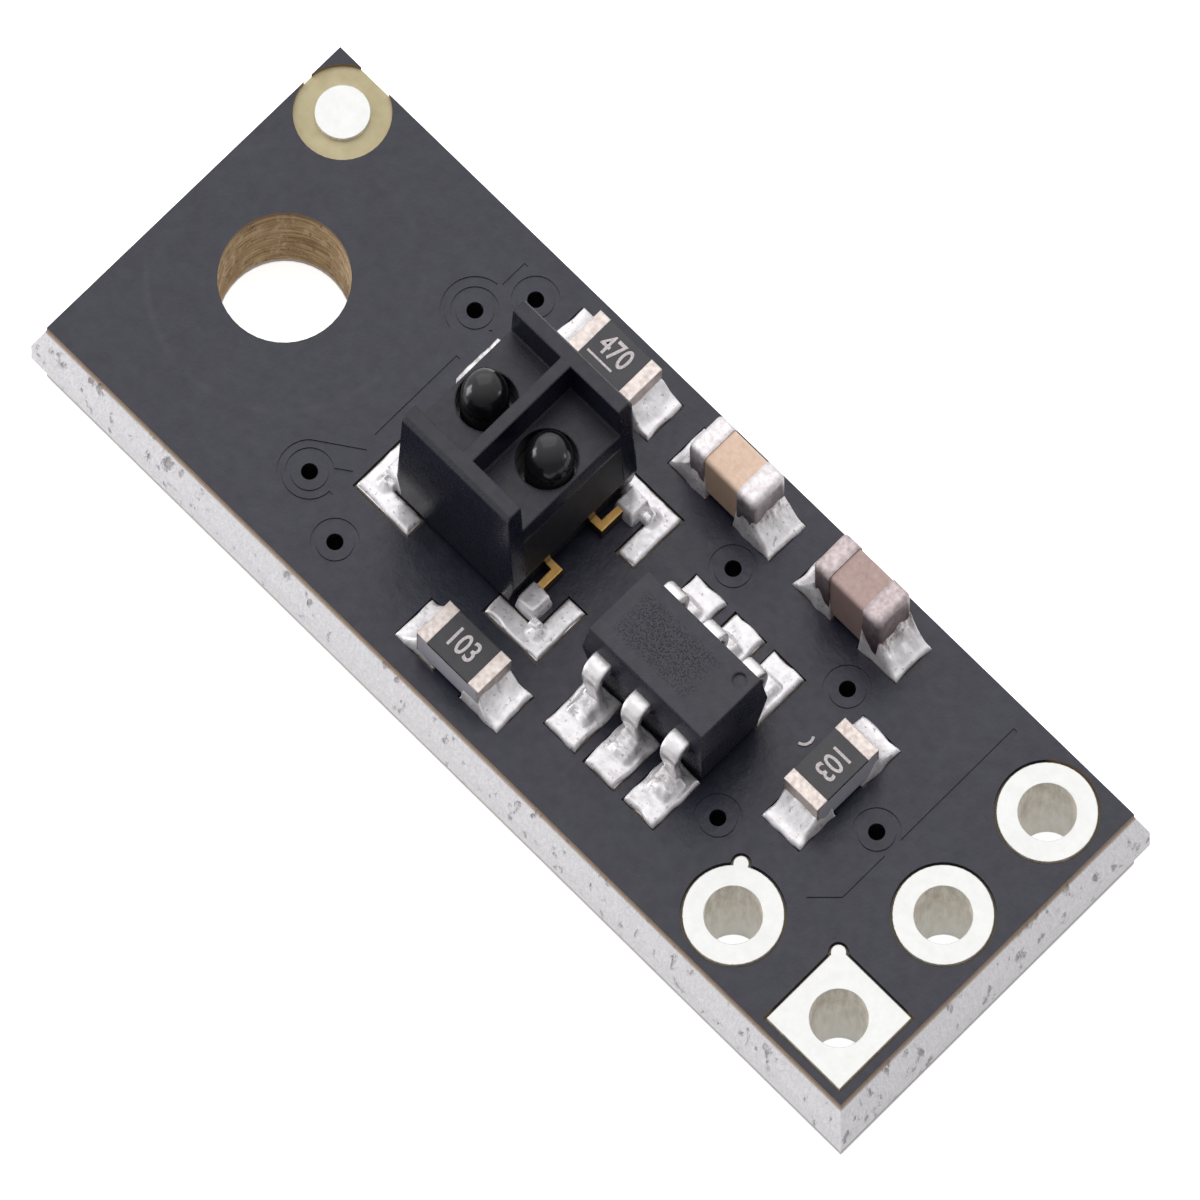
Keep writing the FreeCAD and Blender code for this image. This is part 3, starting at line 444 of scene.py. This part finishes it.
def tin_look():
    """Bright tin, darker and warmer towards the top of the holes that it lines and nearly white towards
    their bottom.
    """
    look = Look("tin_finish", (0.7, 0.7, 0.67), 0.4, metallic=1.0)
    tone = look.mix(look.ramp(look.noise(5, 5, 0.65), 0.35, 0.65), (0.60, 0.60, 0.58),
                    (0.64, 0.64, 0.62))
    mottle = look.ramp(look.noise(1.0, 4, 0.7, place=look.scaled(7, 7, 4)), 0.35, 0.65)
    height = look.axis("Z")
    upper = look.mix(mottle, (0.62, 0.56, 0.47), (0.92, 0.89, 0.82))
    lower = look.mix(mottle, (0.92, 0.90, 0.84), (1.0, 1.0, 0.97))
    wall = look.mix(look.ramp(height, BOARD_TOP * 0.2, BOARD_TOP * 0.85), lower, upper)
    level = look.ramp(look.math("ABSOLUTE", look.facing("Z")), 0.5, 0.8)
    look.colour(look.mix(level, wall, tone))
    look.roughness(look.ramp(level, 0, 1, 0.55, 0.38))
    look.set(look.shader, "Metallic", look.ramp(level, 0, 1, 0.1, 1))
    look.normal(look.bump(look.noise(6, 3), 0.008, look.soften(0.02)))
    return look.material


def solder_look():
    """Bright solder with flux stains, mostly where it climbs up the parts."""
    look = Look("solder", (0.75, 0.73, 0.74), 0.42, metallic=0.6)
    tone = look.mix(look.ramp(look.noise(5, 5, 0.65), 0.35, 0.65), (0.72, 0.69, 0.70),
                    (0.88, 0.86, 0.87))
    climb = look.ramp(look.axis("Z"), BOARD_TOP + 0.22, BOARD_TOP + 0.42)
    stain = look.ramp(look.noise(7, 4, 0.7), 0.42, 0.60)
    tone = look.mix(look.math("MULTIPLY", climb, stain), tone, (0.20, 0.14, 0.13))
    specks = look.ramp(look.noise(14, 2, 0.5), 0.62, 0.72, 0, 0.6)
    look.colour(look.mix(specks, tone, (0.22, 0.17, 0.15)))
    look.roughness(look.ramp(look.noise(8, 3), 0.3, 0.7, 0.32, 0.52))
    look.normal(look.bump(look.noise(7, 3), 0.008, look.soften(0.02)))
    return look.material


def terminal_look(name, dark, light):
    """Plated end of a chip capacitor: pale on top, with painted shade making it darker and brownish
    towards the board.
    """
    look = Look(name, light, 0.45, metallic=1.0)
    tone = look.mix(look.ramp(look.noise(9, 5, 0.65), 0.35, 0.65), dark, light)
    # Painted shade: the terminal is darkened and browned towards the board.
    painted_low_shade = tuple(channel * part for channel, part in zip(dark, (0.50, 0.42, 0.42)))
    height = look.math("ADD", look.axis("Z"), look.math("MULTIPLY", look.noise(3, 2), 0.3))
    look.colour(look.mix(look.ramp(height, BOARD_TOP + 0.42, BOARD_TOP + 0.85), painted_low_shade, tone))
    look.roughness(look.ramp(look.noise(15, 3), 0.3, 0.7, 0.35, 0.58))
    look.normal(look.bump(look.noise(11, 3), 0.008, look.soften(0.12)))
    return look.material


def moulded_look(name, colour, roughness, grain=0.004, edge=0.05, scale=24):
    """Matte moulded plastic: fine grain, faint cloudiness and softened edges."""
    look = Look(name, colour, roughness, specular=0.55)
    cloud = look.noise(1.8, 4)
    brighter = tuple(channel * 1.5 for channel in colour)
    look.colour(look.mix(look.ramp(cloud, 0.3, 0.7), colour, brighter))
    look.roughness(look.worn(roughness))
    look.normal(look.bump(look.grain(scale), grain, look.soften(edge)))
    return look.material


def driver_look():
    """The driver's moulding, with fine specks over the middle of its top."""
    look = Look("driver_plastic", (0.007, 0.007, 0.015), 0.5, specular=0.6)
    low, high = node_box("driver_body")
    middle = (low + high) / 2
    away = look.math("SUBTRACT", look.place, (middle.x - 0.2, middle.y, 0), vector=True)
    away = look.math("ABSOLUTE", away, vector=True)
    away_x = look.math("DIVIDE", look.axis("X", away), 0.95)
    away_y = look.math("DIVIDE", look.axis("Y", away), 0.5)
    inside = look.ramp(look.math("MAXIMUM", away_x, away_y), 0.6, 1.0, 1, 0)
    inside = look.math("MULTIPLY", inside, look.ramp(look.axis("Z"), high.z - 0.1, high.z - 0.05))
    specks = look.ramp(look.noise(26, 2, 0.6), 0.54, 0.64)
    specks = look.math("MULTIPLY", specks, inside)
    cloud = look.mix(look.ramp(look.noise(1.8, 4), 0.3, 0.7), (0.009, 0.009, 0.018),
                     (0.012, 0.012, 0.024))
    look.colour(cloud)
    look.roughness(look.worn(0.5))
    grain = look.bump(look.grain(24), 0.008, look.soften(0.05))
    look.normal(look.bump(specks, 0.02, grain))
    return look.material


def resin_look():
    """Dark infrared resin: glossy, nearly black, with a warm cast."""
    look = Look("dark_resin", (0.006, 0.005, 0.006), 0.3)
    cloud = look.noise(1.5, 3)
    look.colour(look.mix(look.ramp(cloud, 0.3, 0.7), (0.005, 0.004, 0.005), (0.009, 0.008, 0.010)))
    polish = look.ramp(look.noise(7, 3), 0.3, 0.7, 0.14, 0.20)
    upright = look.ramp(look.math("ABSOLUTE", look.facing("Z")), 0.05, 0.15, 0.5, 0)
    look.roughness(look.math("ADD", polish, upright))
    look.normal(look.bump(look.noise(4, 2), 0.004, look.soften(0.03)))
    return look.material


def ceramic_look(name, dark, light, edge=0.05, side=1.0):
    """Ceramic with a fine grain, and painted shade on its upright faces. Side is how bright the painted
    shade leaves its upright faces beside its top.
    """
    look = Look(name, light, 0.6)
    grain = look.noise(9, 5, 0.7)
    tone = look.mix(look.ramp(grain, 0.3, 0.7), dark, light)
    # Painted shade: upright faces take the dark colour scaled by side, so they look shaded beside the
    # top.
    painted_side_shade = tuple(channel * side for channel in dark)
    look.colour(look.mix(look.ramp(look.facing("Z"), 0.3, 0.9), painted_side_shade, tone))
    look.roughness(look.ramp(look.noise(5, 3), 0.3, 0.7, 0.5, 0.7))
    look.normal(look.bump(grain, 0.006, look.soften(edge)))
    return look.material


def ink_look(name="white_ink"):
    look = Look(name, (0.75, 0.75, 0.73), 0.6)
    worn = look.noise(20, 4, 0.7)
    look.colour(look.mix(look.ramp(worn, 0.3, 0.6), (0.40, 0.36, 0.36), (0.68, 0.62, 0.62)))
    look.normal(look.bump(worn, 0.003))
    return look.material


def node_hole(name):
    """The middle of a hole, from the record's mount of that name."""
    for mount in frame["record"]["mounts"]:
        if mount["name"] == name:
            return Vector(mount["pos_m"]) / MM
    raise KeyError(name)


def make_looks():
    return {
        "laminate": laminate_look(),
        "mask": mask_look(),
        "copper": metal_look("copper", (0.5, 0.24, 0.14), (0.75, 0.42, 0.28), 0.35),
        "via": metal_look("via_copper", (0.030, 0.022, 0.020), (0.06, 0.045, 0.04), 0.5),
        "tin": tin_look(),
        "solder": solder_look(),
        "lead": metal_look("tinned_lead", (0.74, 0.72, 0.72), (0.84, 0.82, 0.82), 0.42, 0.003, 6,
                           0.05),
        "terminal": terminal_look("terminal_tin", (0.62, 0.57, 0.57), (0.80, 0.77, 0.78)),
        "dull_terminal": terminal_look("dull_terminal_tin", (0.40, 0.33, 0.33),
                                       (0.58, 0.50, 0.50)),
        "strip": metal_look("resistor_tin", (0.60, 0.52, 0.48), (0.72, 0.65, 0.61), 0.5,
                            0.006, 7, 0.03),
        "gold": gold_look(),
        "silicon": metal_look("silicon", (0.16, 0.16, 0.19), (0.28, 0.28, 0.32), 0.2),
        "housing": moulded_look("housing_plastic", (0.004, 0.004, 0.011), 0.5, 0.006, 0.06),
        "moulding": driver_look(),
        "resin": resin_look(),
        "glaze": moulded_look("dark_glaze", (0.018, 0.016, 0.019), 0.4, 0.004, 0.03),
        # side= sets how dark the painted shade on the chips' upright faces is.
        "white_ceramic": ceramic_look("white_ceramic", (0.34, 0.33, 0.37), (0.46, 0.45, 0.50)),
        "tan_ceramic": ceramic_look("tan_ceramic", (0.74, 0.52, 0.38), (0.90, 0.66, 0.51),
                                    side=0.6),
        "grey_ceramic": ceramic_look("grey_ceramic", (0.41, 0.28, 0.25), (0.52, 0.37, 0.34),
                                     side=0.5),
        "ink": ink_look(),
    }


# Which look each CAD node wears, by the start of its name or a part of it
NODE_LOOKS = [
    ("board_laminate", "laminate"), ("solder_mask", "mask"), ("ground_plane", "copper"),
    ("via_barrels", "via"), ("header_hole", "tin"), ("component_pads", "solder"),
    ("fiducial_pad", "tin"), ("white_mark", "ink"), ("sensor_housing", "housing"),
    ("_block", "resin"), ("_die", "silicon"), ("bond_wires", "gold"),
    ("emitter_lead", "gold"), ("detector_lead", "gold"), ("driver_body", "moulding"),
    ("driver_lead", "lead"), ("solder_", "solder"), ("tan_ceramic", "tan_ceramic"),
    ("grey_ceramic", "grey_ceramic"), ("capacitor_tan_terminal", "terminal"),
    ("capacitor_grey_terminal", "dull_terminal"), ("_overcoat", "glaze"), ("_ceramic", "white_ceramic"),
    ("_terminal", "strip"),
]


def dress_nodes(looks):
    for name, item in nodes.items():
        look = next(look for part, look in NODE_LOOKS if part in name)
        item.data.materials.clear()
        item.data.materials.append(looks[look])


# Solder, leads and print
GRID_STEP = 0.025


def grid_lines(rects, low, high):
    """Grid positions along one axis that include each rectangle's own edges."""
    stops = sorted({rect[low] for rect in rects} | {rect[high] for rect in rects})
    lines = []
    for start, end in zip(stops, stops[1:]):
        steps = max(1, round((end - start) / GRID_STEP))
        lines += [start + (end - start) * step / steps for step in range(steps)]
    return lines + [stops[-1]]


def depth_inside(rects, x, y):
    """How far a point lies inside a union of rectangles."""
    return max(min(x - x0, x1 - x, y - y0, y1 - y) for x0, y0, x1, y1 in rects)


def swell(rects, mounds, base, x, y, seed, lumpy):
    """Solder height: a thin skin that rounds off at the outline, and mounds that rise from it.
    A mound is a rectangle, its height, its reach along x and y, and the hollow of its slope."""
    depth = depth_inside(rects, x, y)
    rim = 1 - min(1, max(0, depth) / RIM)
    height = base * math.sqrt(1 - rim * rim)
    for (x0, y0, x1, y1), top, reach_x, reach_y, hollow in mounds:
        across = max(0, x0 - x, x - x1) / reach_x
        along = max(0, y0 - y, y - y1) / reach_y
        away = math.hypot(across, along)
        if away < 1:
            height += (top - base) * (1 - away) ** hollow * min(1, max(0, depth) / 0.05)
    lump = noise.noise(Vector((x * 5, y * 5, seed * 3.7)))
    fine = noise.noise(Vector((x * 16, y * 16, seed * 1.9)))
    return height * (1 + lumpy * (0.16 * lump + 0.05 * fine))


def add_joint(shape, place, rects, mounds, base, seed, wobble=0.035, lumpy=1):
    """One closed patch of solder on its pad. Place turns local x, y, z into board millimetres."""
    columns = grid_lines(rects, 0, 2)
    rows = grid_lines(rects, 1, 3)
    upper, lower = {}, {}

    def corner(i, j, store, is_top):
        if (i, j) not in store:
            x, y = columns[i], rows[j]
            z = swell(rects, mounds, base, x, y, seed, lumpy) if is_top else SOLDER_SINK
            shift = noise.noise_vector(Vector((x * 3.1, y * 3.1, seed * 5.3))) * wobble
            spot = place(x + shift.x, y + shift.y, z)
            store[i, j] = shape.verts.new(spot * MM)
        return store[i, j]

    cells = {(i, j) for i in range(len(columns) - 1) for j in range(len(rows) - 1)
             if depth_inside(rects, (columns[i] + columns[i + 1]) / 2,
                             (rows[j] + rows[j + 1]) / 2) > 0}
    for i, j in cells:
        ring = [(i, j), (i + 1, j), (i + 1, j + 1), (i, j + 1)]
        shape.faces.new([corner(*spot, upper, True) for spot in ring])
        shape.faces.new([corner(*spot, lower, False) for spot in reversed(ring)])
        beside = [(i, j - 1), (i + 1, j), (i, j + 1), (i - 1, j)]
        for side, neighbour in enumerate(beside):
            if neighbour not in cells:
                start, end = ring[side], ring[(side + 1) % 4]
                shape.faces.new([corner(*start, lower, False), corner(*end, lower, False),
                                 corner(*end, upper, True), corner(*start, upper, True)])


SOLDER_SINK = -0.012
RIM = 0.06


def finish_piece(name, shape, look, replaced=(), smooth=True):
    """Turns mesh data into a piece that rides the root body."""
    bmesh.ops.recalc_face_normals(shape, faces=shape.faces)
    mesh = bpy.data.meshes.new(name)
    shape.to_mesh(mesh)
    shape.free()
    for face in mesh.polygons:
        face.use_smooth = smooth
    mesh.materials.append(look)
    item = bpy.data.objects.new(name, mesh)
    bpy.context.scene.collection.objects.link(item)
    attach(item, "root")
    if replaced:
        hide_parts(*replaced)
    return item


def turned_place(x, y, degrees, flip=1):
    """Local axes for a part that stands at x, y and is turned about the vertical."""
    angle = math.radians(degrees)
    ahead = Vector((math.cos(angle), math.sin(angle), 0))
    aside = Vector((-math.sin(angle), math.cos(angle), 0)) * flip

    def place(along, across, z):
        return Vector((x, y, BOARD_TOP + z)) + ahead * along + aside * across

    return place


PAD_OUTER, PAD_INNER, PAD_HALF = 1.23, 0.34, 0.44

# Name, turn, length and width of the chip, and how high its solder climbs
CHIPS = [
    ("resistor_upper", 0, 1.5, 0.81, 0.27), ("resistor_lower", 0, 1.5, 0.81, 0.27),
    ("resistor_side", 90, 1.5, 0.81, 0.27),
    ("capacitor_tan", 0, 1.6, 0.82, 0.42), ("capacitor_grey", 0, 1.6, 0.82, 0.48),
]


def chip_solder(looks):
    for index, (name, turn, length, width, climb) in enumerate(CHIPS):
        low, high = node_box("solder_" + name)
        middle = (low + high) / 2
        shape = bmesh.new()
        for side, spin in enumerate((180, 0)):
            place = turned_place(middle.x, middle.y, turn + spin)
            rects = [(PAD_INNER, -PAD_HALF, PAD_OUTER, PAD_HALF)]
            body = (0, -width / 2 + 0.03, length / 2 - 0.04, width / 2 - 0.03)
            mounds = [(body, climb, 0.42, 0.09, 1.5)]
            add_joint(shape, place, rects, mounds, 0.06, index * 2 + side + 1, 0.045)
        finish_piece(name + "_fillets", shape, looks["solder"], ["solder_" + name])


DRIVER_PITCH = 0.95
DRIVER_SIDE = 0.8      # half the moulding's width at its parting line
DRIVER_PAD = (0.36, -0.10, 1.04)


def driver_rows():
    """Each lead's tag, its place and the side that it faces."""
    low, high = node_box("driver_body")
    middle = (low + high) / 2
    for row, facing in (("front", -1), ("rear", 1)):
        for step in (-1, 0, 1):
            tag = f"driver_lead_{row}_{step + 2}"
            yield tag, middle.x + DRIVER_PITCH * step, middle.y + DRIVER_SIDE * facing, facing


def driver_solder(looks):
    half, inner, outer = DRIVER_PAD
    shape = bmesh.new()
    for index, (tag, x, y, facing) in enumerate(driver_rows()):
        place = turned_place(x, y, 90 * facing, facing)
        rects = [(inner, -half, outer, half)]
        foot = ((0.20, -0.17, 0.56, 0.17), 0.185, 0.10, 0.09, 0.9)
        heel = ((0.08, -0.15, 0.24, 0.15), 0.12, 0.10, 0.08, 1.3)
        add_joint(shape, place, rects, [foot, heel], 0.07, 20 + index, 0.045)
    finish_piece("driver_fillets", shape, looks["solder"], ["solder_driver"])


# Each lead's middle line: how far out of the moulding, how high, and half its width
LEAD_LINE = [
    (-0.14, 0.72, 0.20), (0.02, 0.725, 0.20), (0.13, 0.725, 0.20), (0.22, 0.69, 0.20),
    (0.275, 0.61, 0.20), (0.28, 0.52, 0.19), (0.25, 0.43, 0.175), (0.215, 0.34, 0.165),
    (0.20, 0.25, 0.165), (0.215, 0.17, 0.17), (0.27, 0.11, 0.18), (0.36, 0.085, 0.185),
    (0.48, 0.08, 0.185), (0.61, 0.08, 0.185),
]
LEAD_HALF = 0.072


def driver_leads(looks):
    for tag, x, y, facing in driver_rows():
        place = turned_place(x, y, 90 * facing, facing)
        shape = bmesh.new()
        rings = []
        for index, (out, height, half) in enumerate(LEAD_LINE):
            before = LEAD_LINE[max(0, index - 1)]
            after = LEAD_LINE[min(len(LEAD_LINE) - 1, index + 1)]
            run = Vector((after[0] - before[0], after[1] - before[1])).normalized()
            normal = Vector((-run.y, run.x)) * LEAD_HALF
            ring = []
            for side, face in ((-1, 1), (1, 1), (1, -1), (-1, -1)):
                spot = place(out + normal.x * face, half * side, height + normal.y * face)
                ring.append(shape.verts.new(spot * MM))
            rings.append(ring)
        for first, second in zip(rings, rings[1:]):
            for corner in range(4):
                after = (corner + 1) % 4
                shape.faces.new([first[corner], first[after], second[after], second[corner]])
        shape.faces.new(rings[0])
        shape.faces.new(rings[-1])
        bevelled = [edge for edge in shape.edges
                    if not any(edge.verts[0] in ring and edge.verts[1] in ring for ring in rings)]
        ends = [edge for edge in shape.edges
                if all(vert in rings[-1] for vert in edge.verts)]
        bmesh.ops.bevel(shape, geom=bevelled + ends, offset=0.035 * MM, segments=3, profile=0.5,
                        affect="EDGES")
        piece = finish_piece(tag + "_strip", shape, looks["lead"], [tag])
        bevel = piece.modifiers.new("round", "SUBSURF")
        bevel.levels = bevel.render_levels = 1


QUADRANTS = [("emitter", "front", -1, -1), ("detector", "front", 1, -1),
             ("emitter", "rear", -1, 1), ("detector", "rear", 1, 1)]
PADS_X, PADS_HALF_LENGTH, PADS_HALF_WIDTH = -1.68, 2.2, 1.76
ARM_LONG, ARM_DEEP, ARM_WIDE = 1.25, 1.16, 0.37
TAB = (1.38, 0.95, 1.84, 1.44)


def sensor_place(side_x, side_y):
    """Local axes for one quarter of the sensor, mirrored about its middle."""
    low, high = node_box("sensor_housing")
    middle = (low + high) / 2

    def place(x, y, z):
        return Vector((middle.x + x * side_x, middle.y + y * side_y, BOARD_TOP + z))

    return place


def sensor_solder(looks):
    """An L of solder outside each corner of the sensor, and a bulky tab on the lead's end."""
    shape = bmesh.new()
    for index, (unit, end, side_x, side_y) in enumerate(QUADRANTS):
        def pad_place(x, y, z):
            return Vector((PADS_X + x * side_x, y * side_y, BOARD_TOP + z))

        outer_x, outer_y = PADS_HALF_LENGTH, PADS_HALF_WIDTH
        inner_x, inner_y = outer_x - ARM_WIDE, outer_y - ARM_WIDE
        arms = [(outer_x - ARM_LONG, inner_y, outer_x, outer_y),
                (inner_x, outer_y - ARM_DEEP, outer_x, outer_y)]
        ridge = ((inner_x - 0.02, inner_y - 0.02, inner_x + 0.06, inner_y + 0.06),
                 0.14, 0.15, 0.15, 1.2)
        crest = ((outer_x - 0.14, outer_y - ARM_DEEP, outer_x - 0.05, outer_y - 0.12),
                 0.33, 0.12, 0.12, 0.8)
        hidden = end == "rear" and unit == "emitter"
        add_joint(shape, pad_place, arms, [crest] if hidden else [ridge], 0.04, 40 + index, lumpy=0.5)
        x0, y0, x1, y1 = TAB
        top = ((x0 + 0.05, y0 + 0.05, x1 - 0.05, y1 - 0.05), 0.20, 0.05, 0.05, 0.4)
        add_joint(shape, sensor_place(side_x, side_y), [TAB], [top], 0.06, 50 + index, 0.02, 0.2)
        bridge = [(inner_x - 0.18, inner_y - 0.14, inner_x + 0.05, inner_y + 0.05)]
        add_joint(shape, pad_place, bridge, [], 0.10, 60 + index, 0.03)
    finish_piece("sensor_fillets", shape, looks["solder"], ["solder_sensor"])


LEAD_REACH, LEAD_ARM, LEAD_END = 1.6, 1.46, 1.3
FOOT_NEAR, FOOT_FAR = 0.47, 0.60
PADDLE_X, PADDLE_HALF = 0.79, 0.28


def sensor_leads(looks):
    """Flat L-shaped leads whose ends lie under the solder tabs."""
    for unit, end, side_x, side_y in QUADRANTS:
        place = sensor_place(side_x, side_y)
        inside = PADDLE_X - PADDLE_HALF
        outline = [(LEAD_REACH, FOOT_NEAR), (LEAD_REACH, LEAD_END), (LEAD_ARM, LEAD_END),
                   (LEAD_ARM, FOOT_FAR), (inside, FOOT_FAR)]
        if end == "rear":
            outline += [(inside, -PADDLE_HALF), (PADDLE_X + PADDLE_HALF, -PADDLE_HALF),
                        (PADDLE_X + PADDLE_HALF, FOOT_NEAR)]
        else:
            outline += [(inside, FOOT_NEAR)]
        node = f"{unit}_lead_{end}"
        low, high = node_box(node)
        shape = bmesh.new()
        rings = [[shape.verts.new(place(x, y, z - BOARD_TOP) * MM) for x, y in outline]
                 for z in (low.z, high.z)]
        for ring in rings:
            shape.faces.new(ring)
        for corner in range(len(outline)):
            after = (corner + 1) % len(outline)
            shape.faces.new([rings[0][corner], rings[0][after], rings[1][after],
                             rings[1][corner]])
        rim = [edge for edge in shape.edges
               if edge.verts[0] in rings[1] and edge.verts[1] in rings[1]]
        bmesh.ops.bevel(shape, geom=rim, offset=0.015 * MM, segments=2, profile=0.5,
                        affect="EDGES")
        finish_piece(node + "_strip", shape, looks["gold"], [node], smooth=False)


# Printed numbers: node they lie on, text, turn and whether they are underlined
PRINTS = [
    ("resistor_upper_overcoat", "470", 0, True),
    ("resistor_lower_overcoat", "103", 0, False),
    ("resistor_side_overcoat", "103", -90, False),
]
DIGIT_SIZE = 0.56
DIGIT_NARROW = 0.76


def print_number(node, text, turn, underlined, look):
    low, high = node_box(node)
    middle = (low + high) / 2
    curve = bpy.data.curves.new(node + "_number", "FONT")
    curve.body = text
    curve.size = DIGIT_SIZE * MM
    curve.align_x = "CENTER"
    curve.align_y = "CENTER"
    curve.offset = 0.007 * MM
    curve.extrude = 0.002 * MM
    item = bpy.data.objects.new(node + "_number", curve)
    bpy.context.scene.collection.objects.link(item)
    turned = turned_place(middle.x, middle.y, turn)
    item.location = turned(-0.03, 0.04 if underlined else 0, high.z - BOARD_TOP + 0.001) * MM
    item.rotation_euler = (0, 0, math.radians(turn))
    item.scale = (DIGIT_NARROW, 1, 1)
    curve.materials.append(look)
    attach(item, "root")
    if underlined:
        shape = bmesh.new()
        start, end, width, rise = -0.42, 0.16, 0.020, 0.003
        top = high.z - BOARD_TOP
        for z in (0, rise):
            for along, across in ((start, -1), (end, -1), (end, 1), (start, 1)):
                shape.verts.new(turned(along, -0.25 + width * across, top + z) * MM)
        bmesh.ops.convex_hull(shape, input=shape.verts)
        finish_piece(node + "_underline", shape, look, smooth=False)


def make_pieces(looks):
    chip_solder(looks)
    driver_solder(looks)
    driver_leads(looks)
    sensor_solder(looks)
    sensor_leads(looks)
    for node, text, turn, underlined in PRINTS:
        print_number(node, text, turn, underlined, looks["ink"])


make_camera()
make_lights()
make_world()
make_floor()
looks = make_looks()
dress_nodes(looks)
make_pieces(looks)
